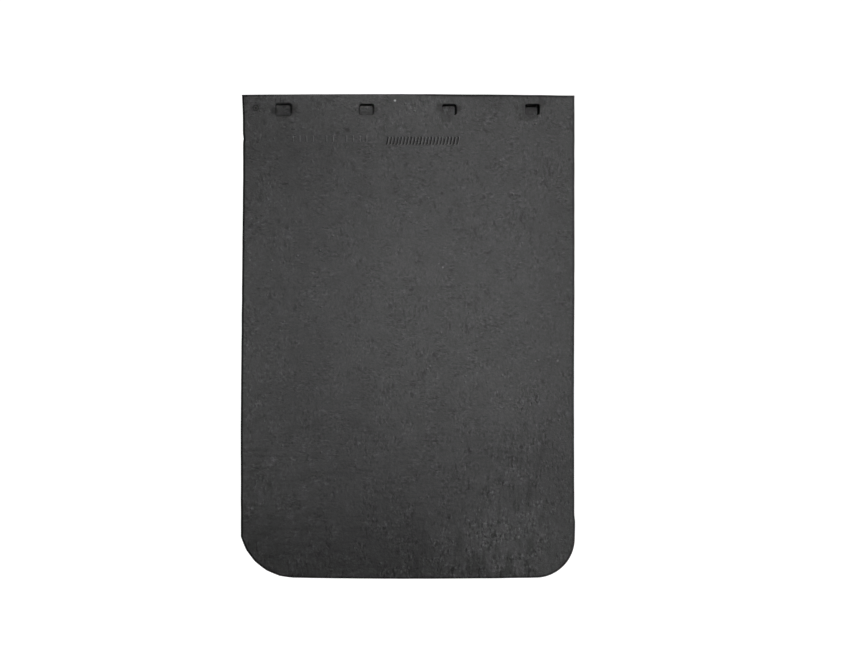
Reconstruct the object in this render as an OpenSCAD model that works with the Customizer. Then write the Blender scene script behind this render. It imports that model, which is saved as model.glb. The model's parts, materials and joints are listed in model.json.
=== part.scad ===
// Moulded rubber mud flap, hung from four bolts through its top edge.
// The flap is one rubber sheet. It is split here at its flex lines: a mounting band that the clamp
// holds still, and eight panels below it that bend back and forward one after another.
// X runs across the flap, Z runs up, and the front face looks towards -Y.
// The origin is on the rear face, in the middle of the row of slots.

/* [Sheet] */
// Width of the flap
flap_w = 304.8; // [280:0.1:340]
// Length of the flap, from its top edge to its bottom edge
flap_h = 444.5; // [420:0.5:620]
// Thickness of the rubber
sheet_t = 6.35; // [5:0.05:8]
// Radius of the bottom corner at the low X side
corner_left_r = 48; // [10:1:48]
// Radius of the bottom corner at the high X side
corner_right_r = 37; // [10:1:48]

/* [Mounting slots] */
// Distance between the centres of two neighbouring slots
slot_pitch = 76.2; // [70:0.1:85]
// Distance of the slot centres below the top edge
slot_drop = 14.3; // [12:0.1:20]
// Clear width of a slot
slot_w = 13.5; // [10:0.1:16]
// Clear height of a slot
slot_h = 9.9; // [8:0.1:12]
// Radius of a slot's corners
slot_r = 2; // [1:0.1:3]
// Thickness of the moulded skin that closes a slot at the rear face
skin_t = 1.5; // [1:0.1:2]
// How far the pad in the middle of a skin stands up from it, into the slot
pad_t = 2.2; // [0.5:0.1:3]
// Width of the groove between each pad and its slot's upper and high X walls
groove_w = [0.8, 1.2, 1.9, 2.6]; // [0.5:0.1:3]

/* [Flex lines] */
// Height of the mounting band, from the top edge to the first flex line
band_h = 50.3; // [48:0.1:56]
// Gap between the round top of a panel and the hollow above it
flex_gap = 0.3; // [0.2:0.05:0.5]
// Height of the open line that each flex line leaves on both faces
line_h = 2; // [1.8:0.1:3]

/* [Moulded marks] */
// Number of slanted bars in the hatch mark
hatch_count = 22; // [10:1:24]
// Distance between two bars of the hatch mark
hatch_pitch = 3.1; // [2.8:0.1:6]
// Length of a bar of the hatch mark
hatch_len = 7.6; // [5:0.1:8]
// Width of a bar of the hatch mark
hatch_w = 1.1; // [0.8:0.1:1.6]
// Lean of the bars away from upright, in degrees
hatch_lean = 12; // [0:1:30]
// How far the hatch mark stands out of the front face
hatch_raise = 0.6; // [0.3:0.1:1]
// Number of places for an upright dash along the dash mark, of which two stay empty
dash_count = 12; // [9:1:14]
// Distance between two places of the dash mark
dash_pitch = 6.2; // [5:0.1:6.5]
// Length of a dash
dash_len = 5.4; // [2:0.1:6]
// Width of a dash
dash_w = 1; // [0.6:0.1:1.5]
// How far the dash mark stands out of the front face
dash_raise = 0.3; // [0.2:0.1:0.6]
// Outer diameter of the cavity ring
ring_d = 6; // [4:0.1:8]
// Width of the cavity ring's wall
ring_wall = 0.9; // [0.6:0.1:1.2]
// How far the cavity ring stands out of the front face
ring_raise = 0.4; // [0.2:0.1:0.6]

/* [Hidden] */

$fn = 64;
panel_count = 8;
slot_count = 4;
panel_pitch = (flap_h - band_h) / panel_count;
bottom_z = slot_drop - flap_h;
mid_y = -sheet_t / 2;
nose_r = sheet_t / 2;
cut_over = 1;
hatch_at = [13.8, -28.7];
dash_at = [-72, -26.8];
dash_gaps = [4, 7];
ring_at = [-139.6, 1.6];
dot_d = 1.8;

rubber = "#3d3d3d";
rubber_light = "#4a4a4a";

// Height of flex line i, counted from 1 at the foot of the mounting band
function flex_z(i) = slot_drop - band_h - (i - 1) * panel_pitch;

// Centre of slot i across the flap, counted from 1 at the low X side
function slot_x(i) = (i - (slot_count + 1) / 2) * slot_pitch;

// Full-width slab of the sheet between two heights
module slab(z_low, z_high) {
    translate([-flap_w / 2, -sheet_t, z_low])
        cube([flap_w, sheet_t, z_high - z_low]);
}

// Round bar along flex line i, in the middle of the sheet's thickness
module flex_bar(i, r, over = 0) {
    translate([-flap_w / 2 - over, mid_y, flex_z(i)])
        rotate([0, 90, 0])
            cylinder(r = r, h = flap_w + 2 * over);
}

// Rectangle with round corners, centred
module round_rect(w, h, r) {
    square([w - 2 * r, h], center = true);
    square([w, h - 2 * r], center = true);
    for (x = [-1, 1], y = [-1, 1])
        translate([x * (w / 2 - r), y * (h / 2 - r)])
            circle(r = r);
}

// Prism in the shape of slot i, from depth y_far forward to depth y_near. A groove makes it narrower
// and lower, by drawing in its high X side and its top.
module slot_prism(i, y_near, y_far, groove = 0) {
    translate([slot_x(i) - groove / 2, y_far, -groove / 2])
        rotate([90, 0, 0])
            linear_extrude(height = y_far - y_near)
                round_rect(slot_w - groove, slot_h - groove, slot_r);
}

// What lies outside a round bottom corner: side is -1 at low X and 1 at high X
module corner_waste(side, r) {
    centre_x = side * (flap_w / 2 - r);
    difference() {
        translate([side > 0 ? centre_x : centre_x - r - cut_over, -sheet_t - cut_over, bottom_z - cut_over])
            cube([r + cut_over, sheet_t + 2 * cut_over, r + cut_over]);
        translate([centre_x, mid_y, bottom_z + r])
            rotate([90, 0, 0])
                cylinder(r = r, h = sheet_t + 4 * cut_over, center = true, $fn = 128);
    }
}

// Puts a flat shape drawn in X and Z on the front face, standing out by raise
module on_front(at, raise) {
    translate([at[0], -sheet_t, at[1]])
        rotate([90, 0, 0])
            linear_extrude(height = raise)
                children();
}

// Top of the sheet, held by the clamp, with the four slots through it
module mounting_band() {
    color(rubber)
        difference() {
            slab(flex_z(1) + line_h, slot_drop);
            flex_bar(1, nose_r + flex_gap, cut_over);
            for (i = [1:slot_count])
                slot_prism(i, -sheet_t - cut_over, cut_over);
        }
}

// Thin moulded skin across the rear of slot i, which the bolt or a punch opens, with its raised pad
module slot_skin(i) {
    color(rubber_light) {
        slot_prism(i, -skin_t, 0);
        slot_prism(i, -skin_t - pad_t, 0, groove_w[i - 1]);
    }
}

// Panel i of the hanging sheet, with its round top on flex line i and a hollow for the next panel
module flap_panel(i) {
    color(rubber)
        difference() {
            union() {
                slab(flex_z(i + 1) + line_h, flex_z(i));
                flex_bar(i, nose_r);
            }
            flex_bar(i + 1, nose_r + flex_gap, cut_over);
        }
}

// Lowest panel, with the two round corners
module bottom_panel() {
    color(rubber)
        difference() {
            union() {
                slab(bottom_z, flex_z(panel_count));
                flex_bar(panel_count, nose_r);
            }
            corner_waste(-1, corner_left_r);
            corner_waste(1, corner_right_r);
        }
}

// Row of plain slanted bars, moulded on the front face
module hatch_mark() {
    color(rubber_light)
        on_front(hatch_at, hatch_raise)
            for (i = [0:hatch_count - 1])
                translate([(i - (hatch_count - 1) / 2) * hatch_pitch, 0])
                    rotate(-hatch_lean)
                        square([hatch_w, hatch_len], center = true);
}

// Three groups of upright dashes in a row, moulded low on the front face
module dash_mark() {
    color(rubber_light)
        on_front(dash_at, dash_raise)
            for (i = [0:dash_count - 1])
                if (i != dash_gaps[0] && i != dash_gaps[1])
                    translate([(i - (dash_count - 1) / 2) * dash_pitch, 0])
                        square([dash_w, dash_len], center = true);
}

// Ring with a dot in it, moulded beside the first slot
module cavity_mark() {
    color(rubber_light)
        on_front(ring_at, ring_raise) {
            difference() {
                circle(d = ring_d);
                circle(d = ring_d - 2 * ring_wall);
            }
            circle(d = dot_d);
        }
}

mounting_band();
slot_skin(1);  // slot_skin_1
slot_skin(2);  // slot_skin_2
slot_skin(3);  // slot_skin_3
slot_skin(4);  // slot_skin_4
hatch_mark();
dash_mark();
cavity_mark();
flap_panel(1);  // flap_panel_1
flap_panel(2);  // flap_panel_2
flap_panel(3);  // flap_panel_3
flap_panel(4);  // flap_panel_4
flap_panel(5);  // flap_panel_5
flap_panel(6);  // flap_panel_6
flap_panel(7);  // flap_panel_7
bottom_panel();  // flap_panel_8
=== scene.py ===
import json
import math

import bmesh
import bpy
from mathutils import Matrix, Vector, noise
from mathutils.geometry import delaunay_2d_cdt


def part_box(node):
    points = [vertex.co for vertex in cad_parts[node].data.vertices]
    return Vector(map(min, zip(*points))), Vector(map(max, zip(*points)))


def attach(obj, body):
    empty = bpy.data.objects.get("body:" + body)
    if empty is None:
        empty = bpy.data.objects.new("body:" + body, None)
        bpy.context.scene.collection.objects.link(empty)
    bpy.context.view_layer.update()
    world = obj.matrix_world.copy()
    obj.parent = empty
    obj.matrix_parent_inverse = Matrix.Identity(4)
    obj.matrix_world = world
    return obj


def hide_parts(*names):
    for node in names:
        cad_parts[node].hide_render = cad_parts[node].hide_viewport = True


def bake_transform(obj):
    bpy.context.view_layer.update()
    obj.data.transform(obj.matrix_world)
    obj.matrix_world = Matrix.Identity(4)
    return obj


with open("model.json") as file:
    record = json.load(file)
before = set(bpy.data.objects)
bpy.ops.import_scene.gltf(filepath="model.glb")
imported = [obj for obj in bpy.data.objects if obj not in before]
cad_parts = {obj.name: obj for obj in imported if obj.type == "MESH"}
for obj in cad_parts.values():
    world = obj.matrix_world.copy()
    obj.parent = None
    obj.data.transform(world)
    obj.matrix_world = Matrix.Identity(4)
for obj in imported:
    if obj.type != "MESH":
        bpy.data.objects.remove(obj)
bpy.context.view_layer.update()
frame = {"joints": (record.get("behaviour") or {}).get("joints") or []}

# The mud flap is one moulded rubber sheet. It is built as eight closed pieces that meet halfway between
# the flex lines. Shapes are worked out in millimetres, in the frame of the CAD, and turned into metres
# when a mesh is made.
MM = 0.001


# ---------------------------------------------------------------- places, from the CAD


def node_box(name):
    """Lowest and highest corner of a CAD node, in millimetres."""
    low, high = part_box(name)
    return low / MM, high / MM


BAND_LOW, BAND_HIGH = node_box("mounting_band")
HALF_W = BAND_HIGH.x
TOP_Z = BAND_HIGH.z
FRONT_Y = BAND_LOW.y
REAR_Y = BAND_HIGH.y
JOINTS = frame["joints"]
BOTTOM_Z = node_box(f"flap_panel_{len(JOINTS)}")[0].z
FLEX_Z = [joint["pos_m"][2] / MM for joint in JOINTS]
PITCH = FLEX_Z[0] - FLEX_Z[1]
SEAM_Z = [z - PITCH / 2 for z in FLEX_Z[:-1]]
SHEET_COUNT = len(FLEX_Z)
SLOT_COUNT = 4


# ---------------------------------------------------------------- shape of the sheet

# Outline, from the CAD's. The left side leans out between two heights, flares at the very top and has
# a small nick. The right side has a shallow waist, and low down a small step that rises, holds and
# fades. The top edge is crowned and leans a little, and the bottom edge hangs lowest in its middle.
LEFT_TOP_INSET = 0.9
LEFT_LEAN = 2.3
LEFT_LEAN_FROM = -60.0
LEFT_LEAN_TO = -290.0
LEFT_FLARE = 1.1
LEFT_FLARE_FADE = 16.0
NICK_Z = -26.4
NICK_DEPTH = 0.6
NICK_HALF = 2.2
RIGHT_OUTSET = 0.6
RIGHT_WAIST = 0.45
RIGHT_WAIST_Z = -270.0
RIGHT_WAIST_REACH = 75.0
RIGHT_STEP_Z = -374.0
RIGHT_STEP = 0.6
RIGHT_STEP_RISE = 3.0
RIGHT_STEP_HOLD = 8.0
RIGHT_STEP_FADE = 30.0
TOP_CROWN = 1.0
TOP_RISE = -0.05
TOP_LEAN = 0.35
BOTTOM_DROP = 0.9
BOTTOM_BOW = 0.7
BOTTOM_BOW_REACH = 100.0

# Slight waves along the edges: their height, and each edge's wave length and noise seed
EDGE_WAVE = 0.14
LEFT_WAVE = (14.0, 3.1)
RIGHT_WAVE = (16.0, 5.7)
TOP_WAVE = (22.0, 1.3)
BOTTOM_WAVE = (18.0, 2.9)

# Bottom corners. The left one leaves the side with a slight kink, in five near-flat chords: its reach
# is shorter than its radius by the kink, and the facet is how far the arc is drawn to the chords.
LEFT_CORNER_R = 50.45
LEFT_CORNER_REACH = 48.9
LEFT_CHORDS = 5
LEFT_FACET = 0.6
LEFT_CORNER_STEPS = 35
RIGHT_CORNER_R = 36.2
RIGHT_CORNER_STEPS = 30

# Round-over of the outer edge and of the slots' lips. Support rows keep it off the flat face.
EDGE_R = 1.1
REAR_EDGE_R = 0.7
EDGE_SUPPORT = 0.6
LIP_R = [1.9, 0.6, 0.5, 0.5]
REAR_LIP_R = 0.35
LIP_SUPPORT = 0.36
ARC_STEPS = 4
SLOT_CORNER_R = 2.0
CORNER_STEPS = 8
MIN_CORNER_R = 0.25

# Painted shade on the walls of each slot, and how fast that painted shade grows over a round-over
LIP_SHADE = [0.7, 0.9, 0.5, 0.5]
SHADE_GROWTH = 2.5

# Painted shade on the rounded outer edge, most along low X, the side away from the light, each as
# (first, last, from x, to x): along the sides, along the top, and what the top's low-X end has besides.
# The top is what lies nearer to it than TOP_REACH.
SIDE_EDGE_SHADE = (0.5, 1.0, -120.0, -145.0)
TOP_EDGE_SHADE = (0.1, 0.7, -5.0, 25.0)
TOP_END_EDGE_SHADE = (0.0, 0.4, -100.0, -130.0)
TOP_REACH = 6.0

# Out-of-plane shape: the hanging part curls back slightly at its low corners and is a little bowed.
# Both faces have a faint relief, and the rear one's is set in by a share of its height.
LEFT_CURL = 2.6
RIGHT_CURL = 1.0
BOW = 0.5
BOW_SIZE = 120.0
BOW_SEED = 6.2
RELIEF = 0.09
RELIEF_SIZE = 24.0
FRONT_SEED = 0.4
REAR_SEED = 9.4
REAR_SET_IN = 0.6

# Mesh fineness: the distances between loose points, along edges and from a cut to its first row, how
# far loose points stay from the outer edge and from the slots, and within what points become one
GRID = 3.6
EDGE_STEP = 2.4
SEAM_ROW = 0.6
EDGE_CLEAR = 2.2
SLOT_CLEAR = 3.0
MERGE_WITHIN = 1e-5


def clamp(t):
    return max(0.0, min(1.0, t))


def smooth(t):
    t = clamp(t)
    return t * t * (3 - 2 * t)


def lerp(a, b, t):
    return a + (b - a) * t


def ramp(value, first, last, start, end):
    """first before start, last past end, and a smooth way from one to the other between them."""
    return lerp(first, last, smooth((value - start) / (end - start)))


def wobble(x, z, size, seed):
    """Smooth noise from about -1 to 1, with features of that size in millimetres."""
    return noise.noise(Vector((x / size, z / size, seed)))


def left_edge(z):
    """Where the low-X edge of the sheet is at height z."""
    lean = LEFT_LEAN * clamp((z - LEFT_LEAN_FROM) / (LEFT_LEAN_TO - LEFT_LEAN_FROM))
    flare = LEFT_FLARE * math.exp(-max(0.0, TOP_Z - z) / LEFT_FLARE_FADE)
    nick = NICK_DEPTH * math.exp(-(((z - NICK_Z) / NICK_HALF) ** 2))
    wave = EDGE_WAVE * wobble(0, z, *LEFT_WAVE)
    return -(HALF_W - LEFT_TOP_INSET + lean + flare - nick + wave)


def right_edge(z):
    """Where the high-X edge of the sheet is at height z."""
    rise = clamp((RIGHT_STEP_Z - z) / RIGHT_STEP_RISE)
    fade = clamp((RIGHT_STEP_Z - RIGHT_STEP_HOLD - z) / RIGHT_STEP_FADE)
    step = RIGHT_STEP * rise * (1 - fade)
    waist = RIGHT_WAIST * math.exp(-(((z - RIGHT_WAIST_Z) / RIGHT_WAIST_REACH) ** 2))
    wave = EDGE_WAVE * wobble(0, z, *RIGHT_WAVE)
    return HALF_W + RIGHT_OUTSET - waist + step + wave


def top_edge(x):
    """How high the top edge is at x."""
    wave = EDGE_WAVE * wobble(x, 0, *TOP_WAVE)
    side = x / HALF_W
    return TOP_Z + TOP_RISE - TOP_LEAN * side - TOP_CROWN * side**2 + wave


def bottom_edge(x):
    """How low the bottom edge is at x."""
    wave = EDGE_WAVE * wobble(x, 0, *BOTTOM_WAVE)
    return BOTTOM_Z - BOTTOM_DROP + BOTTOM_BOW * (x / BOTTOM_BOW_REACH) ** 2 + wave


def warp(x, z):
    """How far the whole sheet stands back from its plane at a point."""
    hang = ramp(z, 0.0, 1.0, FLEX_Z[0], BOTTOM_Z)
    side = x / HALF_W
    curl = LEFT_CURL * smooth(-side) + RIGHT_CURL * smooth(side)
    return hang * (hang * curl + BOW * wobble(x, z, BOW_SIZE, BOW_SEED))


def front_y(x, z):
    return FRONT_Y + warp(x, z) + RELIEF * wobble(x, z, RELIEF_SIZE, FRONT_SEED)


def rear_y(x, z):
    return REAR_Y + warp(x, z) - RELIEF * (REAR_SET_IN + wobble(x, z, RELIEF_SIZE, REAR_SEED))


# ---------------------------------------------------------------- closed shells


class Shell:
    """Points and faces of one closed piece, gathered in millimetres."""

    def __init__(self):
        self.points = []
        self.edge = []
        self.faces = []
        self.caps = []

    def add(self, x, y, z, edge=0.0):
        """Adds a point. edge is its share of the painted edge tone: 1 is all of the painted shade, and
        below 0 is paler, a painted highlight.
        """
        self.points.append((x, y, z))
        self.edge.append(edge)
        return len(self.points) - 1

    def band(self, low, high, closed):
        """Quads between two rows of points."""
        count = len(low)
        for k in range(count if closed else count - 1):
            n = (k + 1) % count
            self.faces.append((low[k], low[n], high[n], high[k]))

    def stack(self, loops):
        """A closed body from loops of equal length, with a cap at both ends."""
        rows = [[self.add(*point) for point in loop] for loop in loops]
        for low, high in zip(rows, rows[1:]):
            self.band(low, high, True)
        self.caps.append(tuple(rows[0]))
        self.faces.append(tuple(rows[-1]))

    def build(self, name, material):
        """Makes the Blender object, with each point's rest place and edge share as attributes."""
        mesh = bpy.data.meshes.new(name)
        made = bmesh.new()
        verts = [made.verts.new([c * MM for c in point]) for point in self.points]
        for face in self.faces:
            made.faces.new([verts[k] for k in face])
        caps = [made.faces.new([verts[k] for k in face]) for face in self.caps]
        bmesh.ops.recalc_face_normals(made, faces=made.faces)
        for face in made.faces:
            face.smooth = True
        flat = set(caps)
        for edge in made.edges:
            sides = [face in flat for face in edge.link_faces]
            if any(sides) and not all(sides):
                edge.smooth = False
        made.to_mesh(mesh)
        made.free()
        rest = mesh.attributes.new("rest_mm", "FLOAT_VECTOR", "POINT")
        rest.data.foreach_set("vector", [c for point in self.points for c in point])
        share = mesh.attributes.new("edge_share", "FLOAT", "POINT")
        share.data.foreach_set("value", self.edge)
        mesh.materials.append(material)
        made_object = bpy.data.objects.new(name, mesh)
        bpy.context.scene.collection.objects.link(made_object)
        return made_object


def edge_profile(front_r, rear_r, support, first_share):
    """Rows from the front face over an edge to the rear face: (inset, depth, on the rear, edge share)."""

    def arc(radius, on_rear):
        rows = [
            (radius + 2 * support, 0.0, on_rear, 0.0),
            (radius + support, 0.0, on_rear, first_share),
        ]
        for k in range(ARC_STEPS + 1):
            turn = k / ARC_STEPS
            angle = turn * math.pi / 2
            inset = radius * (1 - math.sin(angle))
            depth = radius * (1 - math.cos(angle))
            rows.append((inset, depth, on_rear, min(1.0, first_share + SHADE_GROWTH * turn)))
        return rows

    return arc(front_r, False) + arc(rear_r, True)[::-1]


def painted_edge_shade(x, z):
    """How much painted shade the outer edge has at a point: most along low X, least along the top's low-X
    half.
    """
    if z > TOP_Z - TOP_REACH and abs(x) < HALF_W - TOP_REACH:
        return ramp(x, *TOP_EDGE_SHADE) + ramp(x, *TOP_END_EDGE_SHADE)
    return ramp(x, *SIDE_EDGE_SHADE)


def skirt(shell, contour, profile, closed, painted_shade=lambda x, z: 1.0):
    """Rows of points and faces along a contour, from the front face to the rear face."""
    rows = []
    for inset, depth, on_rear, share in profile:
        row = []
        for x, z in contour(inset):
            y = rear_y(x, z) - depth if on_rear else front_y(x, z) + depth
            row.append(shell.add(x, y, z, share * painted_shade(x, z)))
        rows.append(row)
    for low, high in zip(rows, rows[1:]):
        shell.band(low, high, closed)
    return rows


# ---------------------------------------------------------------- outline paths


def right_of(start, end):
    """Unit direction to the right of the way from start to end."""
    length = math.dist(start, end)
    return (end[1] - start[1]) / length, (start[0] - end[0]) / length


def moved_in(path, distance):
    """The path moved to its right-hand side, towards the middle of the sheet. Its ends move level."""
    moved = []
    last = len(path) - 1
    for k, (x, z) in enumerate(path):
        if k in (0, last):
            moved.append((x - math.copysign(distance, x), z))
            continue
        before = right_of(path[k - 1], (x, z))
        after = right_of((x, z), path[k + 1])
        reach = distance / (1 + before[0] * after[0] + before[1] * after[1])
        moved.append((x + (before[0] + after[0]) * reach, z + (before[1] + after[1]) * reach))
    return moved


def between(start, end, step=EDGE_STEP):
    """Evenly spaced values from start to end, both included."""
    count = max(2, round(abs(end - start) / step))
    return [lerp(start, end, k / count) for k in range(count + 1)]


def side_path(edge, z_from, z_to):
    return [(edge(z), z) for z in between(z_from, z_to)]


def arc_path(centre, radius, from_deg, to_deg, steps):
    """Points on an arc, without its two ends. radius may depend on the angle."""
    points = []
    for k in range(1, steps):
        angle = math.radians(lerp(from_deg, to_deg, k / steps))
        r = radius(angle) if callable(radius) else radius
        points.append((centre[0] + r * math.cos(angle), centre[1] + r * math.sin(angle)))
    return points


def top_path():
    """From the first seam up the left side, along the top and down the right side."""
    left = left_edge(TOP_Z)
    right = right_edge(TOP_Z)
    path = side_path(left_edge, SEAM_Z[0], top_edge(left))[:-1]
    path += [(x, top_edge(x)) for x in between(left, right)]
    return path + side_path(right_edge, top_edge(right), SEAM_Z[0])[1:]


def chorded(angle):
    """Radius of the left corner at an angle: an arc drawn partly towards its chords."""
    start = math.pi + math.acos(LEFT_CORNER_REACH / LEFT_CORNER_R)
    chord = (math.pi * 1.5 - start) / LEFT_CHORDS
    off_middle = (angle % (2 * math.pi) - start) % chord - chord / 2
    flat = LEFT_CORNER_R * math.cos(chord / 2) / math.cos(off_middle)
    return lerp(LEFT_CORNER_R, flat, LEFT_FACET)


def bottom_path():
    """From the last seam down the right side, along the bottom and up the left side."""
    r = RIGHT_CORNER_R
    right = right_edge(BOTTOM_Z + r)
    right_centre = (right - r, bottom_edge(right - r) + r)
    left_x = left_edge(BOTTOM_Z + LEFT_CORNER_R) + LEFT_CORNER_REACH
    left_centre = (left_x, bottom_edge(left_x) + LEFT_CORNER_R)
    kink = math.degrees(math.acos(LEFT_CORNER_REACH / LEFT_CORNER_R))
    kink_z = left_centre[1] - LEFT_CORNER_R * math.sin(math.radians(kink))
    path = side_path(right_edge, SEAM_Z[-1], right_centre[1])
    path += arc_path(right_centre, r, 0, -90, RIGHT_CORNER_STEPS)
    path += [(x, bottom_edge(x)) for x in between(right_centre[0], left_centre[0])]
    path += arc_path(left_centre, chorded, 270, 180 + kink, LEFT_CORNER_STEPS)
    return path + side_path(left_edge, kink_z, SEAM_Z[-1])


def sheet_paths(index):
    """The real edges of sheet piece index, each clockwise as seen from the front."""
    if index == 0:
        return [top_path()]
    if index == SHEET_COUNT - 1:
        return [bottom_path()]
    above = SEAM_Z[index - 1]
    below = SEAM_Z[index]
    return [side_path(left_edge, below, above), side_path(right_edge, above, below)]


def rounded_box(low, high, radius, grow=0.0, corner_steps=CORNER_STEPS):
    """Closed contour of a rectangle with round corners between two (x, z) corners, grown outwards."""
    r = max(MIN_CORNER_R, radius + grow)
    x0, z0 = low[0] - grow + r, low[1] - grow + r
    x1, z1 = high[0] + grow - r, high[1] + grow - r
    points = []
    for (cx, cz), start in (((x1, z0), -90), ((x1, z1), 0), ((x0, z1), 90), ((x0, z0), 180)):
        for k in range(corner_steps + 1):
            angle = math.radians(start + 90 * k / corner_steps)
            points.append((cx + r * math.cos(angle), cz + r * math.sin(angle)))
    return points


# ---------------------------------------------------------------- sheet pieces


def slot_box(number):
    """Corners (x, z) of slot number, counted from 1 at low X."""
    low, high = node_box(f"slot_skin_{number}")
    return (low.x, low.z), (high.x, high.z)


def inside(point, polygon):
    """Whether an (x, z) point is inside a polygon."""
    x, z = point
    found = False
    for (ax, az), (bx, bz) in zip(polygon, polygon[1:] + polygon[:1]):
        if (az > z) != (bz > z) and x < (bx - ax) * (z - az) / (bz - az) + ax:
            found = not found
    return found


class Filling:
    """Flat points of the sheet's two faces, and the edges that their triangles keep to."""

    def __init__(self, shell):
        self.shell = shell
        self.flat = []
        self.front = []
        self.rear = []
        self.edges = []

    def take(self, x, z, front, rear):
        self.flat.append(Vector((x, z)))
        self.front.append(front)
        self.rear.append(rear)
        return len(self.flat) - 1

    def put(self, x, z):
        """A new point on both faces."""
        front = self.shell.add(x, front_y(x, z), z)
        return self.take(x, z, front, self.shell.add(x, rear_y(x, z), z))

    def border(self, rows, closed=False):
        """Takes the first and last row of a skirt as a border, and returns its points in order."""
        taken = []
        for front, rear in zip(rows[0], rows[-1]):
            x, _, z = self.shell.points[front]
            taken.append(self.take(x, z, front, rear))
        self.edges += list(zip(taken, taken[1:]))
        if closed:
            self.edges.append((taken[-1], taken[0]))
        return taken

    def triangles(self, outline, holes):
        """Fills both faces with the same triangles, inside the outline and outside the holes."""
        made = delaunay_2d_cdt(self.flat, self.edges, [], 0, MERGE_WITHIN, True)
        places, _, faces, sources, _, _ = made
        for face in faces:
            middle = tuple(sum((places[k] for k in face), Vector((0, 0))) / 3)
            if not inside(middle, outline) or any(inside(middle, hole) for hole in holes):
                continue
            for side in (self.front, self.rear):
                self.shell.faces.append(tuple(side[sources[k][0]] for k in face))


def seam(filling, z, left, right, towards):
    """Cuts the piece level at height z, between the ends of its left and right edge rows."""
    left_rows, left_end, left_point = left
    right_rows, right_end, right_point = right
    x_left = filling.flat[left_point].x
    x_right = filling.flat[right_point].x
    inner = between(x_left, x_right, GRID)[1:-1]
    row = [left_point] + [filling.put(x, z) for x in inner] + [right_point]
    filling.edges += list(zip(row, row[1:]))
    for x in inner:
        filling.put(x, z + towards * SEAM_ROW)
    for a, b in zip(row, row[1:]):
        filling.shell.caps.append(
            (filling.front[a], filling.front[b], filling.rear[b], filling.rear[a])
        )
    filling.shell.caps.append(tuple(r[left_end] for r in left_rows))
    filling.shell.caps.append(tuple(r[right_end] for r in right_rows))


def near_box(x, z, low, high):
    """Whether a point is in a slot's box or too near to it."""
    across = low[0] - SLOT_CLEAR < x < high[0] + SLOT_CLEAR
    return across and low[1] - SLOT_CLEAR < z < high[1] + SLOT_CLEAR


def well_inside(x, z, outline):
    """Whether a point is inside the outline and clear of it on all four sides."""
    steps = ((EDGE_CLEAR, 0), (-EDGE_CLEAR, 0), (0, EDGE_CLEAR), (0, -EDGE_CLEAR))
    return all(inside((x + dx, z + dz), outline) for dx, dz in steps)


def scatter(filling, z_low, z_high, outline, keep_off):
    """Staggered points all over the piece, clear of its borders."""
    row_step = GRID * math.sqrt(3) / 2
    rows = max(1, int((z_high - z_low) / row_step))
    columns = int(2 * HALF_W / GRID)
    for j in range(rows + 1):
        z = lerp(z_low, z_high, j / rows)
        shift = GRID / 2 if j % 2 else 0.0
        for k in range(-columns // 2, columns // 2 + 2):
            x = k * GRID + shift
            if any(near_box(x, z, low, high) for low, high in keep_off):
                continue
            if well_inside(x, z, outline):
                filling.put(x, z)


def cut_slots(shell, filling):
    """The walls and lips of the four slots. Returns the slots' boxes and the contours to leave open."""
    boxes = []
    holes = []
    for number in range(1, SLOT_COUNT + 1):
        low, high = slot_box(number)
        boxes.append((low, high))
        rows = skirt(
            shell,
            lambda d, low=low, high=high: rounded_box(low, high, SLOT_CORNER_R, d),
            edge_profile(LIP_R[number - 1], REAR_LIP_R, LIP_SUPPORT, 0.0),
            True,
            # painted shade on the slot's walls and lips
            lambda x, z, painted_shade=LIP_SHADE[number - 1]: painted_shade,
        )
        taken = filling.border(rows, True)
        holes.append([tuple(filling.flat[k]) for k in taken])
    return boxes, holes


def sheet_shell(index):
    """One closed piece of the sheet, from its real edges and its level cuts."""
    shell = Shell()
    filling = Filling(shell)
    profile = edge_profile(EDGE_R, REAR_EDGE_R, EDGE_SUPPORT, 1.0)
    ends = {}
    outline = []
    for path in sheet_paths(index):
        # painted shade along the rounded outer edge
        rows = skirt(shell, lambda d, path=path: moved_in(path, d), profile, False, painted_edge_shade)
        taken = filling.border(rows)
        outline += [tuple(filling.flat[k]) for k in taken]
        for end, point in ((0, taken[0]), (-1, taken[-1])):
            x, z = path[end]
            ends[(round(z, 3), x > 0)] = (rows, end, point)
    z_high = TOP_Z
    z_low = BOTTOM_Z
    if index > 0:
        z_high = SEAM_Z[index - 1]
        key = round(z_high, 3)
        seam(filling, z_high, ends[(key, False)], ends[(key, True)], -1)
        z_high -= SEAM_ROW
    if index < SHEET_COUNT - 1:
        z_low = SEAM_Z[index]
        key = round(z_low, 3)
        seam(filling, z_low, ends[(key, False)], ends[(key, True)], 1)
        z_low += SEAM_ROW
    boxes, holes = cut_slots(shell, filling) if index == 0 else ([], [])
    scatter(filling, z_low, z_high, outline, boxes)
    filling.triangles(outline, holes)
    return shell


# ---------------------------------------------------------------- skins in the slots

# The skin's thickness, how far it is let into the slot's walls and lies inside the rear face, and the
# pad's round rim and uneven top
SKIN_T = 1.5
SKIN_EMBED = 0.25
SKIN_REAR_GAP = 0.4
PAD_TOP_R = 0.5
PAD_ROUGH = 0.25
PAD_ROUGH_SIZE = 2.6
PAD_SEED = 3.7

# Painted shade in each slot: on the skin and the pad's walls, and on the pad's top, along its low edge and
# along its high edge. Over the round rim, from the wall to the top, it is shared between the two.
PAD_SHADE = [0.45, 0.9, 1.0, 1.0]
PAD_TOP_SHADE = [(0.3, 0.3), (0.4, 0.05), (0.0, 0.45), (0.25, 0.7)]
RIM_SHARES = [0.6, 0.4, 0.2, 0.0]

# The dish in a pad's top: how deep it is, and its rows as (distance in from the rim, share of the depth)
PAD_DISH = 0.25
DISH_ROWS = [(1.0, 0.3), (1.7, 0.7), (2.5, 0.95), (3.2, 1.0)]

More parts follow.
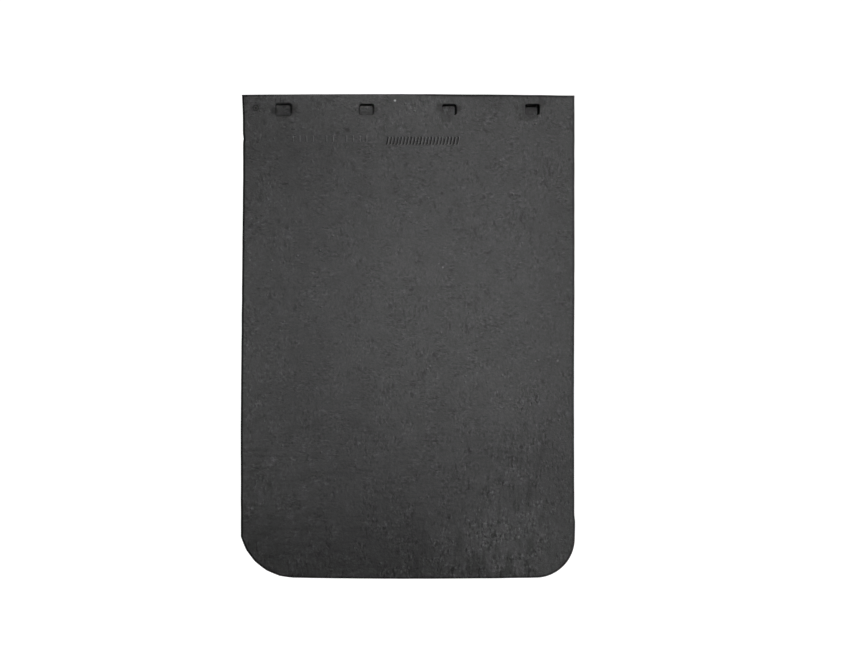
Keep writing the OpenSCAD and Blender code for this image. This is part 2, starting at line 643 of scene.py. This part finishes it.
# How far each pad stays clear of its slot's walls. Below zero, it runs into the wall.
GAP_LEFT = [-0.25, 0.4, -0.25, -0.25]
GAP_LOW = [-0.25, -0.25, -0.25, -0.25]
GAP_RIGHT = [0.3, 1.0, 1.7, 2.2]
GAP_TOP = [0.9, 1.4, 1.8, 2.5]

# How deep each pad lies below the front face, at its low corner and at its upper high-X corner
PAD_DEPTH_LOW = [1.5, 0.9, 0.6, 0.7]
PAD_DEPTH_HIGH = [2.0, 2.6, 2.9, 3.2]


def skin_shell(number):
    """The thin skin across a slot's rear, with the pad that stands up from it."""
    shell = Shell()
    which = number - 1
    low, high = slot_box(number)
    pad_low = (low[0] + GAP_LEFT[which], low[1] + GAP_LOW[which])
    pad_high = (high[0] - GAP_RIGHT[which], high[1] - GAP_TOP[which])
    # painted shade in the slot, on the skin, the pad's walls and the pad's top
    painted_shade = PAD_SHADE[which]

    def outer(y, share):
        return [(x, y, z, share) for x, z in rounded_box(low, high, SLOT_CORNER_R, SKIN_EMBED)]

    def pad_y(x, z):
        across = (x - low[0]) / (high[0] - low[0])
        up = (z - low[1]) / (high[1] - low[1])
        depth = lerp(PAD_DEPTH_LOW[which], PAD_DEPTH_HIGH[which], clamp((across + up) / 2))
        return FRONT_Y + depth + PAD_ROUGH * wobble(x, z, PAD_ROUGH_SIZE, number * PAD_SEED)

    def pad_top_shade(z):
        return lerp(*PAD_TOP_SHADE[which], clamp((z - pad_low[1]) / (pad_high[1] - pad_low[1])))

    def pad(shrink, lower, rim):
        contour = rounded_box(pad_low, pad_high, SLOT_CORNER_R, -shrink)
        return [(x, pad_y(x, z) + lower, z, lerp(pad_top_shade(z), painted_shade, rim)) for x, z in contour]

    foot = [(x, -SKIN_T, z, painted_shade) for x, z in rounded_box(pad_low, pad_high, SLOT_CORNER_R)]
    loops = [outer(REAR_Y - SKIN_REAR_GAP, 0.0), outer(-SKIN_T, painted_shade), foot]
    for k, rim in enumerate(RIM_SHARES):
        angle = k / (len(RIM_SHARES) - 1) * math.pi / 2
        lower = PAD_TOP_R * (1 - math.sin(angle))
        loops.append(pad(PAD_TOP_R * (1 - math.cos(angle)), lower, rim))
    for shrink, dish in DISH_ROWS:
        loops.append(pad(shrink, dish * PAD_DISH, 0.0))
    shell.stack(loops)
    return shell


# ---------------------------------------------------------------- moulded marks

# How deep the marks are rooted in the face, and how many times the CAD's height the bars stand up
MARK_SINK = 0.35
MARK_RISE = 1.25

# A bar's section: the width of its flanks, the rounding and crown of its top, and its corners
FLANK = 0.5
BAR_ROUND = 0.14
BAR_TOP_INSET = 0.1
BAR_TOP_CROWN = 0.02
BAR_CORNER_R = 0.35
BAR_CORNER_STEPS = 3

# Wear changes from bar to bar, over this distance
WEAR_SIZE = 7.0
WEAR_SEED = 4.4

# The rows of bars: how many places each has and which stay empty, half a bar's width and length, its
# lean, the most that wear takes off its height, and the share of painted tone on its low-X flank, on its
# top and on its high-X flank: painted shade on the low-X flank, away from the light, and below zero a
# paler painted highlight, as on the high-X flank that faces the light. The tops are toned darker or paler.
HATCH_ROW = {
    "count": 22,
    "gaps": (),
    "half_w": 0.4,
    "half_l": 3.3,
    "lean_deg": 12.0,
    "wear": 0.3,
    "shade_and_highlight": (1.0, 0.85, -1.8),
}
DASH_ROW = {
    "count": 12,
    "gaps": (4, 7),
    "half_w": 0.4,
    "half_l": 2.35,
    "lean_deg": 0.0,
    "wear": 0.8,
    "shade_and_highlight": (0.0, -0.2, -0.9),
}

# The ring's wall: its width, how far its foot spreads below the face, the width of each sloped flank
# and how high that flank reaches. Then the dot in it, as (radius, share of the ring's height).
RING_WALL = 0.9
RING_FOOT = 0.15
RING_FLANK = 0.25
RING_SHOULDER = 0.85
# How far the whole ring and its dot are toned darker, as a share of the edge tone
RING_DARK_SHARE = 0.6
RING_SPOKES = 40
DOT_ROWS = [(1.0, 0.0), (0.8, 0.7), (0.45, 1.0), (0.2, 1.0)]


def raised_bar(shell, centre, half_w, half_l, lean_deg, raise_by, shade_and_highlight):
    """A bar with sloped flanks and a slightly rounded top, standing out of the front face."""
    lean = math.radians(lean_deg)
    rounding = min(BAR_ROUND, raise_by / 2)

    def loop(grow, height, on_top):
        points = []
        low = (-half_w - grow, -half_l - grow)
        high = (half_w + grow, half_l + grow)
        radius = min(BAR_CORNER_R, half_w + grow)
        for u, v in rounded_box(low, high, radius, corner_steps=BAR_CORNER_STEPS):
            x = centre[0] + u * math.cos(lean) + v * math.sin(lean)
            z = centre[1] - u * math.sin(lean) + v * math.cos(lean)
            # painted shade on the low-X flank, painted highlight on the high-X flank
            flank = shade_and_highlight[0] if u < 0 else shade_and_highlight[2]
            points.append((x, front_y(x, z) - height, z, lerp(flank, shade_and_highlight[1], on_top)))
        return points

    levels = [
        (FLANK, -MARK_SINK, 0.0),
        (FLANK, 0.0, 0.0),
        (rounding, raise_by - rounding, 0.0),
        (0.0, raise_by, 0.5),
        (-BAR_TOP_INSET, raise_by + BAR_TOP_CROWN, 1.0),
    ]
    shell.stack([loop(*level) for level in levels])


def row_of_bars(node, count, gaps, half_w, half_l, lean_deg, wear, shade_and_highlight):
    """A row of plain bars across the place of a CAD mark, each worn by its own amount."""
    shell = Shell()
    low, high = node_box(node)
    reach = half_w * math.cos(math.radians(lean_deg)) + half_l * math.sin(math.radians(lean_deg))
    first = low.x + reach + FLANK
    last = high.x - reach - FLANK
    z = (low.z + high.z) / 2
    raise_by = MARK_RISE * (FRONT_Y - low.y)
    for k in range(count):
        if k in gaps:
            continue
        x = lerp(first, last, k / (count - 1))
        left_over = 1 - wear * clamp(0.5 + wobble(x, z, WEAR_SIZE, WEAR_SEED))
        raised_bar(shell, (x, z), half_w, half_l, lean_deg, raise_by * left_over, shade_and_highlight)
    return shell


def cavity_shell():
    """The small ring beside the first slot, with a dot in it."""
    shell = Shell()
    low, high = node_box("cavity_mark")
    cx = (low.x + high.x) / 2
    cz = (low.z + high.z) / 2
    outer_r = (high.x - low.x) / 2
    inner_r = outer_r - RING_WALL
    raise_by = FRONT_Y - low.y
    section = [
        (outer_r + RING_FOOT, -MARK_SINK),
        (outer_r, 0.0),
        (outer_r - RING_FLANK, raise_by * RING_SHOULDER),
        (outer_r - RING_WALL / 2, raise_by),
        (inner_r + RING_FLANK, raise_by * RING_SHOULDER),
        (inner_r, 0.0),
        (inner_r - RING_FOOT, -MARK_SINK),
    ]

    def ring(radius, height):
        points = []
        for k in range(RING_SPOKES):
            angle = 2 * math.pi * k / RING_SPOKES
            x = cx + radius * math.cos(angle)
            z = cz + radius * math.sin(angle)
            points.append((x, front_y(x, z) - height, z, RING_DARK_SHARE))
        return points

    rows = [[shell.add(*point) for point in ring(*corner)] for corner in section]
    for inner, outer in zip(rows, rows[1:] + rows[:1]):
        shell.band(inner, outer, True)
    dot = [(DOT_ROWS[0][0], -MARK_SINK)] + [(radius, raise_by * up) for radius, up in DOT_ROWS]
    shell.stack([ring(*corner) for corner in dot])
    return shell


# ---------------------------------------------------------------- rubber


class Nodes:
    """Short ways to add shader nodes to one material."""

    def __init__(self, material):
        material.use_nodes = True
        self.tree = material.node_tree
        self.shader = self.tree.nodes["Principled BSDF"]

    def new(self, kind, **settings):
        node = self.tree.nodes.new(kind)
        for name, value in settings.items():
            setattr(node, name, value)
        return node

    def link(self, source, target):
        self.tree.links.new(source, target)

    def math(self, operation, *values):
        node = self.new("ShaderNodeMath", operation=operation)
        for socket, value in zip(node.inputs, values):
            if isinstance(value, (int, float)):
                socket.default_value = value
            else:
                self.link(value, socket)
        return node.outputs[0]

    def product(self, first, *others):
        for other in others:
            first = self.math("MULTIPLY", first, other)
        return first

    def mixed(self, first, second, share):
        """first where share is 0, second where it is 1."""
        rest = self.math("SUBTRACT", 1.0, share)
        return self.math("ADD", self.product(first, rest), self.product(second, share))

    def scaled(self, vector, scale, offset=(0, 0, 0), turn=(0, 0, 0)):
        node = self.new("ShaderNodeMapping", vector_type="POINT")
        node.inputs["Scale"].default_value = scale
        node.inputs["Location"].default_value = offset
        node.inputs["Rotation"].default_value = turn
        self.link(vector, node.inputs["Vector"])
        return node.outputs[0]

    def noise(self, vector, scale, detail, roughness):
        node = self.new("ShaderNodeTexNoise")
        node.inputs["Scale"].default_value = scale
        node.inputs["Detail"].default_value = detail
        node.inputs["Roughness"].default_value = roughness
        self.link(vector, node.inputs["Vector"])
        return node.outputs["Fac"]

    def remap(self, value, low, high, to_low=0.0, to_high=1.0):
        """to_low at low, to_high at high, and a smooth way between them."""
        node = self.new("ShaderNodeMapRange", interpolation_type="SMOOTHSTEP")
        for name, number in (
            ("From Min", low),
            ("From Max", high),
            ("To Min", to_low),
            ("To Max", to_high),
        ):
            node.inputs[name].default_value = number
        self.link(value, node.inputs["Value"])
        return node.outputs["Result"]

    def attribute(self, name):
        return self.new("ShaderNodeAttribute", attribute_type="GEOMETRY", attribute_name=name)


# Noises of the rubber: (scale per millimetre, detail, roughness)
MOTTLE = (0.36, 3.0, 0.65)
PATCHES = (0.06, 2.0, 0.5)
GRAIN = (0.9, 2.0, 0.6)
WORKED = (0.085, 2.0, 0.6)
STEEP = (0.03, 1.0, 0.5)

# Streaks: length and width in millimetres, turn in radians, seed, and the noise values at which a
# streak begins and is full
LIGHT_LEVEL = (4.5, 2.1, 0.1, 11.0, 0.54, 0.68)
LIGHT_STEEP = (4.0, 2.1, 1.4, 23.0, 0.54, 0.68)
DARK_LEVEL = (4.5, 1.9, -0.1, 47.0, 0.54, 0.68)
DARK_STEEP = (5.5, 2.6, 1.6, 71.0, 0.53, 0.68)
RUNS = (24.0, 6.0, 1.57, 90.0, 0.50, 0.66)
WAVES = (26.0, 3.2, 0.0, 130.0, 0.48, 0.66)

# Specks and pits: cell, radius, share of the cells, seed. Each pit lies beside a speck's place. A spot
# is full inside the core's share of its radius, and the seed moves the whole pattern this way.
SPECKS = (11.0, 1.1, 0.40, 5.0)
PITS = (11.0, 1.1, 0.60, 5.0)
PIT_SHIFT = (1.3, 0, 1.0)
SPECK_CORE = 0.4
SEED_WAY = (1.0, 0.7, 1.3)

# Where each pattern lies, as the places where its share is 0 and 1. CORNER ones go by x minus z, which
# grows towards the low high-X corner. The high-X side itself stays clear of runs.
SIDE_CLEAR = (138.0, 112.0)
CORNER_STEEP = (300.0, 440.0)
CORNER_RUNS = (370.0, 460.0)
CORNER_NO_WAVES = (440.0, 380.0)
WAVES_BELOW = (-220.0, -330.0)

# The noise values between which streaks turn from level to steep, and between which the rubber goes
# from little to much worked, with the two strengths of that and what the low corner adds
STEEP_FROM = (0.47, 0.53)
WORKED_FROM = (0.38, 0.62)
WORKED_RANGE = (0.45, 1.35)
CORNER_WORKED = 0.5

# Base tones, the skins' one darker as painted shade in the slots, and the tone of a wholly painted-shade
# edge as a share of them
SHEET_TONE = 0.048
SKIN_SHADED_TONE = 0.042
MARK_TONE = 0.046
EDGE_SHADE_TONE = 0.12

# How strongly each pattern changes the tone, after the pattern's value that changes nothing
RUBBED_GAIN = 1.35
TONE_GAINS = {
    "patches": (0.5, 0.44),
    "grain": (0.5, 0.68),
    "light": (0.0, 0.28),
    "dark": (0.0, -0.26),
    "runs": (0.0, -0.32),
    "waves": (0.45, -0.16),
    "specks": (0.0, 0.8),
    "pits": (0.0, -0.4),
}

# Roughness of the faces and of the marks, and what mottling, light streaks and the painted-shade edges add
# to it
FACE_ROUGHNESS = 0.62
MARK_ROUGHNESS = 0.5
ROUGH_MOTTLE = 0.16
ROUGH_LIGHT = -0.06
ROUGH_EDGE = 0.3
SPECULAR = 0.35

# The bump: how far 1 stands out, in millimetres, and how far each pattern raises the face. The first
# four grow towards the bottom, from a share at one height to a share at another.
BUMP = 0.50
FACE_GAINS = {"mottle": 0.8, "grain": 0.22, "light": 0.20, "dark": -0.20}
SPECK_GAINS = {"specks": 0.6, "pits": -0.6}
BUMP_BY_HEIGHT = (-120.0, -400.0, 0.95, 1.2)


def specks(nodes, place, cell, radius, share, seed):
    """A few round spots: 1 in a spot, 0 outside."""
    node = nodes.new("ShaderNodeTexVoronoi", feature="F1")
    node.inputs["Scale"].default_value = 1 / cell
    node.inputs["Randomness"].default_value = 1.0
    moved = nodes.scaled(place, (1, 1, 1), [seed * part for part in SEED_WAY])
    nodes.link(moved, node.inputs["Vector"])
    spot = nodes.remap(node.outputs["Distance"], radius / cell, radius * SPECK_CORE / cell)
    pick = nodes.new("ShaderNodeSeparateColor")
    nodes.link(node.outputs["Color"], pick.inputs["Color"])
    chosen = nodes.math("LESS_THAN", pick.outputs["Red"], share)
    return nodes.product(spot, chosen)


def fibres(nodes, place, length, width, turn, seed, low, high):
    """Short thin streaks along a direction: 1 in a streak, 0 between."""
    scale = (1 / length, 1 / width, 1 / width)
    turned = nodes.scaled(place, (1, 1, 1), (0, 0, seed), (0, turn, 0))
    return nodes.remap(nodes.noise(nodes.scaled(turned, scale), 1.0, 1.0, 0.5), low, high)


# Broad lighter and darker places, partly stains and worn places and partly painted sheen and shade where
# the light falls unevenly: (x, z, reach in x, reach in z, gain)
STAINS_SHEEN_AND_SHADE = [
    (-130.0, -340.0, 85.0, 100.0, 0.26),
    (-160.0, -180.0, 70.0, 300.0, 0.32),
    (-90.0, 14.0, 150.0, 50.0, 0.32),
    (10.0, -10.0, 80.0, 40.0, 0.17),
    (75.0, 14.5, 95.0, 6.0, -0.30),
    (95.0, -275.0, 60.0, 70.0, 0.14),
    (-15.0, -405.0, 110.0, 80.0, -0.12),
    # painted sheen: a lighter patch at the low high-X corner
    (100.0, -408.0, 105.0, 95.0, 0.59),
    (150.0, -120.0, 50.0, 130.0, -0.15),
]

# Single marks on the front face, specks and pits of wear, and painted shade round the four slots: (x, z,
# radius, gain)
SPOTS = [
    (-11.9, 8.2, 1.1, 3.6),
    (-55.5, -19.0, 2.2, -0.45),
    (-58.0, -17.5, 1.6, -0.25),
    # painted shade round the slots' lips, from here to (122.5, 6.5)
    (-122.5, -1.0, 3.5, -0.55),
    (-105.5, 0.0, 4.5, -0.45),
    (-114.0, -6.5, 4.5, -0.20),
    (-46.0, -1.0, 2.5, -0.30),
    (-29.5, 0.0, 2.5, -0.35),
    (29.5, 2.0, 4.5, -0.40),
    (36.0, -7.0, 6.0, -0.25),
    (47.0, 0.5, 3.0, -0.50),
    (105.5, 2.5, 4.0, -0.30),
    (108.0, -6.5, 5.5, -0.30),
    (114.5, -6.0, 3.5, -0.35),
    (122.5, 6.5, 4.0, -0.35),
    (31.0, -77.0, 1.5, -0.50),
    (42.0, -56.0, 1.2, -0.40),
    (148.0, -46.0, 1.5, -0.45),
    (32.0, -145.0, 1.0, 1.50),
    (28.5, -141.5, 0.8, 1.20),
    (137.5, -230.5, 1.1, 1.60),
    (117.0, -231.0, 0.8, 1.20),
    (-147.5, -216.5, 1.1, 1.00),
    (-145.0, -138.5, 0.8, 1.30),
    (-124.5, -138.5, 0.8, 1.20),
    (85.0, -46.5, 0.9, 1.00),
    (-48.5, -196.0, 1.6, -0.40),
    (-12.0, -187.0, 9.0, -0.12),
]

# A spot fades out at this many radii and at this depth, and is full inside the core's share of that
SPOT_REACH = 1.3
SPOT_DEPTH = 5.0
SPOT_CORE = 0.4


def falloff(nodes, place, x, z, reach_x, reach_z, reach_y=None, core=0.0):
    """1 at a point of the front face, falling smoothly to 0 at its reach. No reach_y is right through."""
    y_scale = 1 / reach_y if reach_y else 0.0
    scale = (1 / reach_x, y_scale, 1 / reach_z)
    offset = (-x / reach_x, -FRONT_Y * y_scale, -z / reach_z)
    length = nodes.new("ShaderNodeVectorMath", operation="LENGTH")
    nodes.link(nodes.scaled(place, scale, offset), length.inputs[0])
    return nodes.remap(length.outputs["Value"], 1.0, core)


def patterns(nodes, place, across, up):
    """What varies over the rubber, by name."""
    to_corner = nodes.math("SUBTRACT", across, up)
    off_side = nodes.remap(across, *SIDE_CLEAR)
    corner_steep = nodes.remap(to_corner, *CORNER_STEEP)
    steep_here = nodes.remap(nodes.noise(place, *STEEP), *STEEP_FROM)
    steep = nodes.math("MAXIMUM", corner_steep, steep_here)

    worked = nodes.remap(nodes.noise(place, *WORKED), *WORKED_FROM, *WORKED_RANGE)
    extra = nodes.math("MULTIPLY_ADD", nodes.product(corner_steep, off_side), CORNER_WORKED, 1.0)
    worked = nodes.product(worked, extra)
    mottle = nodes.noise(place, *MOTTLE)
    light_level = fibres(nodes, place, *LIGHT_LEVEL)
    light_steep = fibres(nodes, place, *LIGHT_STEEP)
    dark_level = fibres(nodes, place, *DARK_LEVEL)
    dark_steep = fibres(nodes, place, *DARK_STEEP)
    runs_here = nodes.remap(to_corner, *CORNER_RUNS)
    low_down = nodes.remap(up, *WAVES_BELOW)
    no_corner = nodes.remap(to_corner, *CORNER_NO_WAVES)
    beside = nodes.scaled(place, (1, 1, 1), PIT_SHIFT)
    return {
        "mottle": mottle,
        "rubbed": nodes.product(nodes.math("SUBTRACT", mottle, 0.5), worked),
        "patches": nodes.noise(place, *PATCHES),
        "grain": nodes.noise(place, *GRAIN),
        "light": nodes.product(nodes.mixed(light_level, light_steep, steep), worked),
        "dark": nodes.product(nodes.mixed(dark_level, dark_steep, steep), worked),
        "runs": nodes.product(fibres(nodes, place, *RUNS), runs_here, off_side),
        "waves": nodes.product(fibres(nodes, place, *WAVES), low_down, no_corner),
        "specks": specks(nodes, place, *SPECKS),
        "pits": specks(nodes, beside, *PITS),
    }


def toned(nodes, place, share, found, tone):
    """The colour: the base tone, changed by each pattern, the edges' painted shade and highlight, the
    stains and painted sheen and shade, and the spots.
    """
    changes = [(found[name], middle, gain) for name, (middle, gain) in TONE_GAINS.items()]
    # the edge share: painted shade, and painted highlight below zero
    changes.append((share, 0.0, EDGE_SHADE_TONE - 1))
    for x, z, reach_x, reach_z, gain in STAINS_SHEEN_AND_SHADE:
        changes.append((falloff(nodes, place, x, z, reach_x, reach_z), 0.0, gain))
    for x, z, radius, gain in SPOTS:
        reach = SPOT_REACH * radius
        mark = falloff(nodes, place, x, z, reach, reach, SPOT_DEPTH, SPOT_CORE)
        changes.append((mark, 0.0, gain))
    value = nodes.math("MULTIPLY_ADD", found["rubbed"], RUBBED_GAIN, 1.0)
    for change, middle, gain in changes:
        value = nodes.product(value, nodes.math("MULTIPLY_ADD", change, gain, 1 - middle * gain))
    return nodes.product(value, tone)


def bumped(nodes, found, up):
    """The surface's direction, with the patterns standing out of it."""
    height = 0.0
    for name, gain in FACE_GAINS.items():
        height = nodes.math("MULTIPLY_ADD", found[name], gain, height)
    height = nodes.product(height, nodes.remap(up, *BUMP_BY_HEIGHT))
    for name, gain in SPECK_GAINS.items():
        height = nodes.math("MULTIPLY_ADD", found[name], gain, height)
    bump = nodes.new("ShaderNodeBump")
    bump.inputs["Strength"].default_value = 1.0
    bump.inputs["Distance"].default_value = BUMP * MM
    nodes.link(height, bump.inputs["Height"])
    return bump.outputs["Normal"]


def rubber(name, tone, roughness=FACE_ROUGHNESS):
    """Matt moulded rubber filled with short fibres: mottled, streaked, with light specks and dark pits."""
    material = bpy.data.materials.new(name)
    nodes = Nodes(material)
    place = nodes.attribute("rest_mm").outputs["Vector"]
    share = nodes.attribute("edge_share").outputs["Fac"]
    spot = nodes.new("ShaderNodeSeparateXYZ")
    nodes.link(place, spot.inputs[0])
    up = spot.outputs["Z"]
    found = patterns(nodes, place, spot.outputs["X"], up)
    nodes.link(toned(nodes, place, share, found, tone), nodes.shader.inputs["Base Color"])
    rough = nodes.math("MULTIPLY_ADD", found["mottle"], ROUGH_MOTTLE, roughness - ROUGH_MOTTLE / 2)
    rough = nodes.math("MULTIPLY_ADD", found["light"], ROUGH_LIGHT, rough)
    rough = nodes.math("MULTIPLY_ADD", nodes.math("MAXIMUM", share, 0.0), ROUGH_EDGE, rough)
    nodes.link(rough, nodes.shader.inputs["Roughness"])
    nodes.shader.inputs["Specular IOR Level"].default_value = SPECULAR
    nodes.link(bumped(nodes, found, up), nodes.shader.inputs["Normal"])
    return material


# ---------------------------------------------------------------- the object's pieces


def bend(piece):
    """Bakes a piece's placing into its mesh. The piece is not bent across a flex line."""
    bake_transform(piece)


def make_sheets(material):
    for index in range(SHEET_COUNT):
        piece = sheet_shell(index).build(f"sheet_{index + 1}", material)
        bend(piece)
        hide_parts(f"flap_panel_{index + 1}")
        if index == 0:
            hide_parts("mounting_band")


def make_skins(material):
    for number in range(1, SLOT_COUNT + 1):
        piece = skin_shell(number).build(f"skin_{number}", material)
        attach(piece, "band")
        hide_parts(f"slot_skin_{number}")


def make_marks(material):
    hatch = row_of_bars("hatch_mark", **HATCH_ROW).build("hatch_bars", material)
    dash = row_of_bars("dash_mark", **DASH_ROW).build("dash_bars", material)
    ring = cavity_shell().build("cavity_ring", material)
    bend(hatch)
    bend(dash)
    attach(ring, "band")
    for piece, node in ((hatch, "hatch_mark"), (dash, "dash_mark"), (ring, "cavity_mark")):
        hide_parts(node)


# ---------------------------------------------------------------- stage, lights and camera

# The stage: a white dome, and a pale floor disc that turns into the dome's white towards its rim
DOME_R = 9.0
FLOOR_R = 2.6
FLOOR_Z = -1.0
FLOOR_TONE = 0.86
WHITE_GLOW = 1.1

# Least share of the floor's own light, in its middle, and where the share begins to grow and is full
FLOOR_GLOW = 0.55
FLOOR_FADE = (0.5, 2.3)

# Each light: its place, what it is aimed at, its energy, and its own settings
LIGHTS = {
    "key_spot": {
        "kind": "SPOT",
        "place": (1.17, -1.54, 0.856),
        "target": (0.21, 0, 0.016),
        "energy": 126,
        "spot_size": math.radians(30.2),
        "spot_blend": 1.0,
        "shadow_soft_size": 0.13,
    },
    "rear_sun": {
        "kind": "SUN",
        "place": (-1.2, 1.6, 0.7),
        "target": (0, 0, -0.2),
        "energy": 1.6,
        "angle": math.radians(30),
    },
    "front_panel": {
        "kind": "AREA",
        "place": (0.03, -1.3, -0.19),
        "target": (0.03, 0, -0.19),
        "energy": 0.195,
        "size": 0.16,
        "spread": math.radians(30.0),
    },
}
STUDIO_LIGHT = 0.18

# The camera looks straight at the front face, level with its middle, as in the photograph
CAMERA_PLACE = (0.0216, -1.877, -0.208)
CAMERA_LENS = 85


def glow_material():
    """Plain white that shows the same brightness everywhere."""
    material = bpy.data.materials.new("backdrop_white")
    nodes = Nodes(material)
    glow = nodes.new("ShaderNodeEmission")
    glow.inputs["Color"].default_value = (1, 1, 1, 1)
    glow.inputs["Strength"].default_value = WHITE_GLOW
    nodes.link(glow.outputs[0], nodes.tree.nodes["Material Output"].inputs["Surface"])
    return material


def floor_material():
    """Pale and matt in the middle, turning into the backdrop's white towards its rim."""
    material = bpy.data.materials.new("floor_pale")
    nodes = Nodes(material)
    nodes.shader.inputs["Base Color"].default_value = (FLOOR_TONE, FLOOR_TONE, FLOOR_TONE, 1)
    nodes.shader.inputs["Roughness"].default_value = 0.9
    place = nodes.new("ShaderNodeTexCoord").outputs["Object"]
    length = nodes.new("ShaderNodeVectorMath", operation="LENGTH")
    nodes.link(place, length.inputs[0])
    glow = nodes.new("ShaderNodeEmission")
    glow.inputs["Strength"].default_value = WHITE_GLOW
    mix = nodes.new("ShaderNodeMixShader")
    share = nodes.remap(length.outputs["Value"], *FLOOR_FADE, FLOOR_GLOW)
    nodes.link(share, mix.inputs["Fac"])
    nodes.link(nodes.shader.outputs[0], mix.inputs[1])
    nodes.link(glow.outputs[0], mix.inputs[2])
    nodes.link(mix.outputs[0], nodes.tree.nodes["Material Output"].inputs["Surface"])
    return material


def only_seen(piece):
    """The camera sees it, and it neither lights nor shades anything."""
    piece.visible_diffuse = False
    piece.visible_glossy = False
    piece.visible_transmission = False
    piece.visible_shadow = False


def make_stage():
    bpy.ops.mesh.primitive_uv_sphere_add(segments=48, ring_count=24, radius=DOME_R)
    dome = bpy.context.object
    dome.name = "backdrop_dome"
    dome.data.materials.append(glow_material())
    bpy.ops.mesh.primitive_circle_add(vertices=96, radius=FLOOR_R, fill_type="NGON")
    floor = bpy.context.object
    floor.name = "floor_disc"
    floor.location = (0, 0, FLOOR_Z)
    floor.data.materials.append(floor_material())
    only_seen(dome)
    only_seen(floor)


def aim(thing, target):
    direction = Vector(target) - thing.location
    thing.rotation_mode = "QUATERNION"
    thing.rotation_quaternion = direction.to_track_quat("-Z", "Y")


def add_light(name, kind, place, target, energy, **settings):
    data = bpy.data.lights.new(name, kind)
    data.energy = energy
    for key, value in settings.items():
        setattr(data, key, value)
    light = bpy.data.objects.new(name, data)
    bpy.context.scene.collection.objects.link(light)
    light.location = place
    aim(light, target)
    light.visible_camera = False


def make_lights():
    for name, light in LIGHTS.items():
        add_light(name, **light)
    world = bpy.data.worlds.new("studio")
    world.use_nodes = True
    background = world.node_tree.nodes["Background"]
    background.inputs["Color"].default_value = (1, 1, 1, 1)
    background.inputs["Strength"].default_value = STUDIO_LIGHT
    world.cycles_visibility.glossy = False
    bpy.context.scene.world = world


def make_camera():
    data = bpy.data.cameras.new("camera")
    data.lens = CAMERA_LENS
    data.sensor_width = 36
    data.clip_end = 100
    camera = bpy.data.objects.new("camera", data)
    camera.location = CAMERA_PLACE
    camera.rotation_euler = (math.radians(90), 0, 0)
    bpy.context.scene.collection.objects.link(camera)
    bpy.context.scene.camera = camera


make_camera()
make_stage()
make_lights()
bpy.context.scene.view_settings.view_transform = "Standard"
make_sheets(rubber("sheet_rubber", SHEET_TONE))
make_skins(rubber("skin_rubber", SKIN_SHADED_TONE))
make_marks(rubber("mark_rubber", MARK_TONE, MARK_ROUGHNESS))
